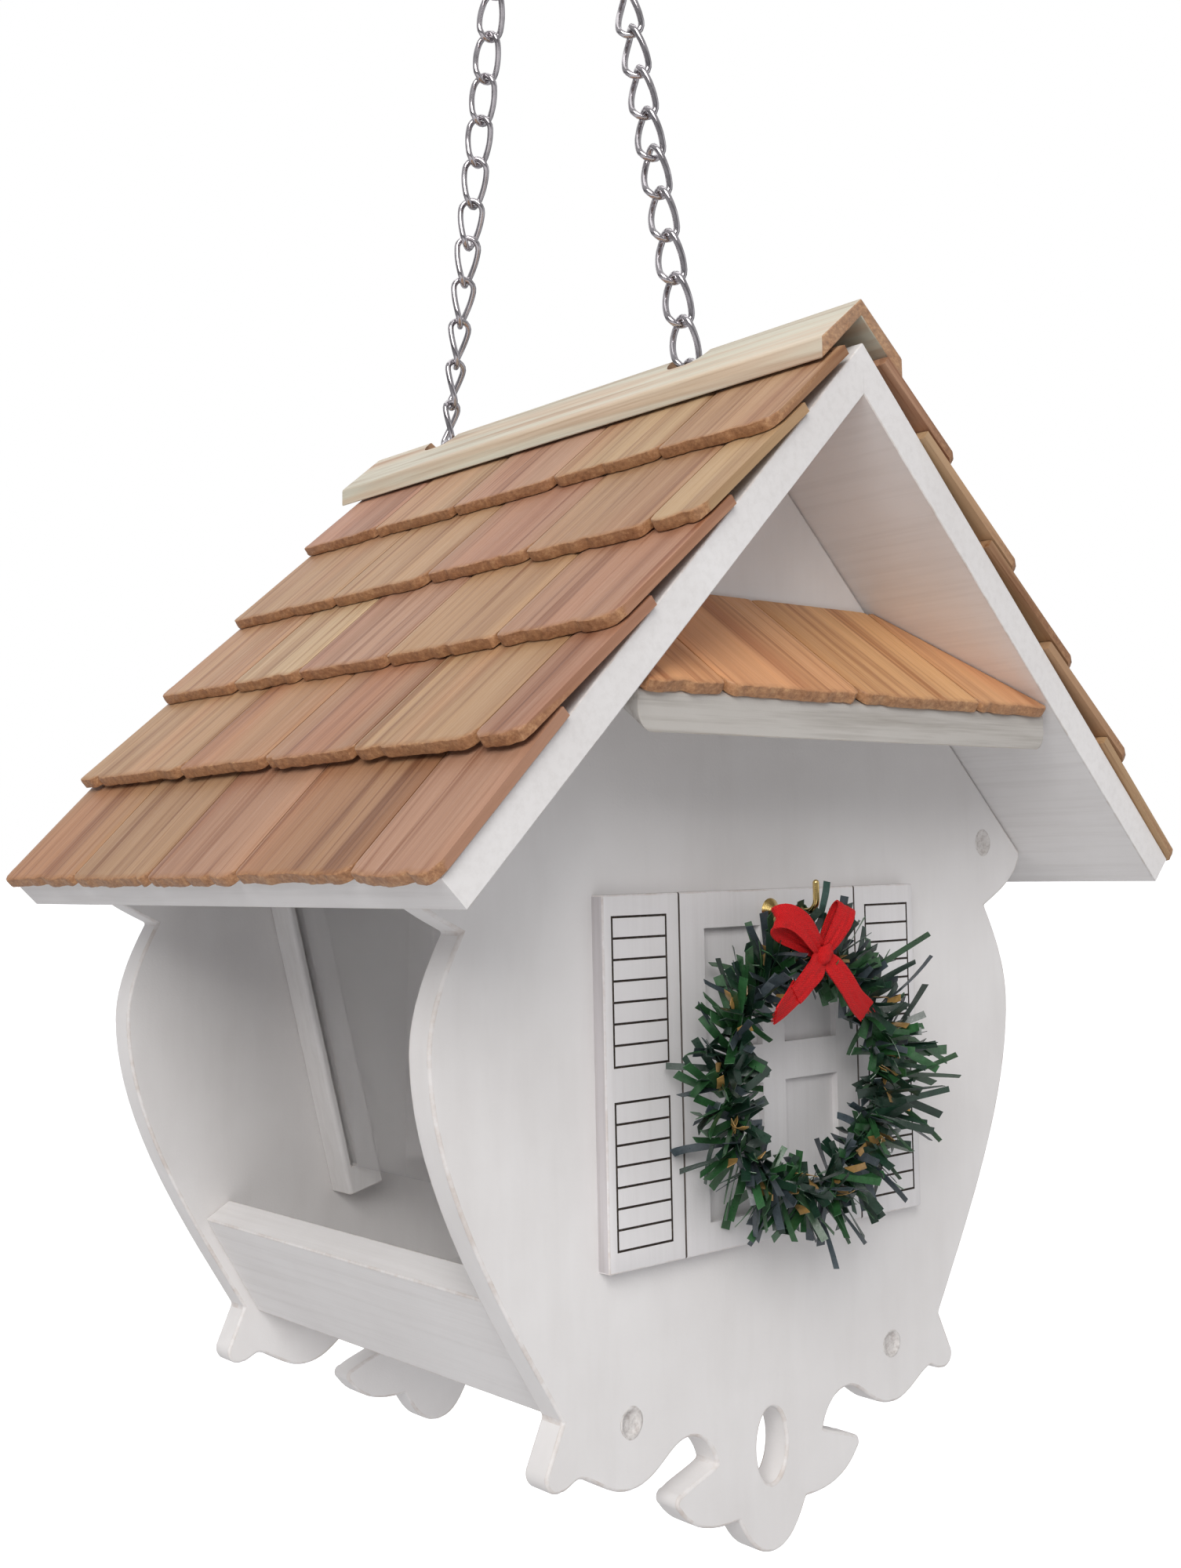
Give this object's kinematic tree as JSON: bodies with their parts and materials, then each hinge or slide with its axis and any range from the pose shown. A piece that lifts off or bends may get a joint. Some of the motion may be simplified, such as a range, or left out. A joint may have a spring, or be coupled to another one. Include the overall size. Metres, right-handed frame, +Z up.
{
  "type": "hanging bird feeder",
  "caption": "Cottage-shaped hanging seed feeder with scroll-cut gable panels, a shingled lift-up roof, open tray sides, a window plaque with a wreath, and hanging chains.",
  "frame": {"origin": "where the hanging hook's upper loop sits on whatever carries the feeder", "axes": "+Z up, the front gable faces -Y, +X to the right seen from behind the front"},
  "size_m": [0.2622, 0.2078, 0.623],
  "materials": {
    "white_paint": "satin warm white paint over fibreboard, brush marks and rubbed edges",
    "cedar": "bare sawn cedar shingle",
    "pale_cedar": "planed pale cedar",
    "clear_sheet": "clear glossy sheet",
    "bright_steel": "bright plated wire",
    "screw_steel": "zinc plated",
    "filler": "rough painted wood filler",
    "brass": "polished",
    "greenery": "semi-gloss cut film strips",
    "greenery_wire": "dark green lacquered wire",
    "red_ribbon": "woven satin ribbon"
  },
  "bodies": {
    "hook": {"hanging_hook": "bright_steel"},
    "ring": {"top_ring": "bright_steel"},
    "house": {"front_panel": "white_paint", "rear_panel": "white_paint", "left_tray_rail": "white_paint", "right_tray_rail": "white_paint", "tray_floor": "white_paint", "left_top_rail": "white_paint", "right_top_rail": "white_paint", "front_left_hopper_batten": "white_paint", "front_right_hopper_batten": "white_paint", "rear_left_hopper_batten": "white_paint", "rear_right_hopper_batten": "white_paint", "left_clear_panel": "clear_sheet", "right_clear_panel": "clear_sheet", "window_plaque": "white_paint", "awning_board": "white_paint", "awning_shingles": "cedar", "front_screw_eye": "bright_steel", "rear_screw_eye": "bright_steel", "panel_screws": "screw_steel", "screw_fillers": "filler", "wreath_hook": "brass"},
    "roof": {"left_roof_board": "white_paint", "right_roof_board": "white_paint", "ridge_cap": "pale_cedar", "left_shingles_course_1": "cedar", "left_shingles_course_2": "cedar", "left_shingles_course_3": "cedar", "left_shingles_course_4": "cedar", "left_shingles_course_5": "cedar", "right_shingles_course_1": "cedar", "right_shingles_course_2": "cedar", "right_shingles_course_3": "cedar", "right_shingles_course_4": "cedar", "right_shingles_course_5": "cedar"},
    "wreath": {"wreath_greenery": "greenery", "wreath_loop": "greenery_wire", "ribbon_bow": "red_ribbon"},
    "front_chain_top": {"front_chain_upper": "bright_steel"},
    "front_chain_low": {"front_chain_lower": "bright_steel"},
    "rear_chain_top": {"rear_chain_upper": "bright_steel"},
    "rear_chain_low": {"rear_chain_lower": "bright_steel"}
  },
  "joints": [
    {"name": "side_swing", "type": "hinge", "parent": "hook", "child": "ring", "pos_m": [0, 0, -0.0206], "axis": [0, 1, 0], "range_deg": [-25, 25]},
    {"name": "fore_aft_swing", "type": "hinge", "parent": "ring", "child": "house", "pos_m": [0, 0, -0.0358], "axis": [1, 0, 0], "range_deg": [-20, 20]},
    {"name": "roof_lift", "type": "slide", "parent": "house", "child": "roof", "axis": [0, 0, 1], "range_m": [0, 0.06]},
    {"name": "front_chain_lower_swing", "type": "hinge", "parent": "house", "child": "front_chain_low", "pos_m": [0, -0.06145, -0.35259], "axis": [1, 0, 0], "range_deg": [0, 7.47]},
    {"name": "rear_chain_lower_swing", "type": "hinge", "parent": "house", "child": "rear_chain_low", "pos_m": [0, 0.06145, -0.35259], "axis": [1, 0, 0], "range_deg": [-7.47, 0]},
    {"name": "front_chain_upper_swing", "type": "hinge", "parent": "house", "child": "front_chain_top", "pos_m": [0, 0, -0.0358], "axis": [1, 0, 0], "range_deg": [-3.29, 0]},
    {"name": "rear_chain_upper_swing", "type": "hinge", "parent": "house", "child": "rear_chain_top", "pos_m": [0, 0, -0.0358], "axis": [1, 0, 0], "range_deg": [0, 3.29]},
    {"name": "wreath_swing", "type": "hinge", "parent": "house", "child": "wreath", "pos_m": [0, -0.08945, -0.46099], "axis": [0, 1, 0], "range_deg": [-20, 20]}
  ],
  "couplings": [
    {"joint": "front_chain_lower_swing", "follows": "roof_lift", "rad_per_m": 2.1684},
    {"joint": "rear_chain_lower_swing", "follows": "roof_lift", "rad_per_m": -2.1684},
    {"joint": "front_chain_upper_swing", "follows": "roof_lift", "rad_per_m": -0.95233},
    {"joint": "rear_chain_upper_swing", "follows": "roof_lift", "rad_per_m": 0.95233}
  ]
}
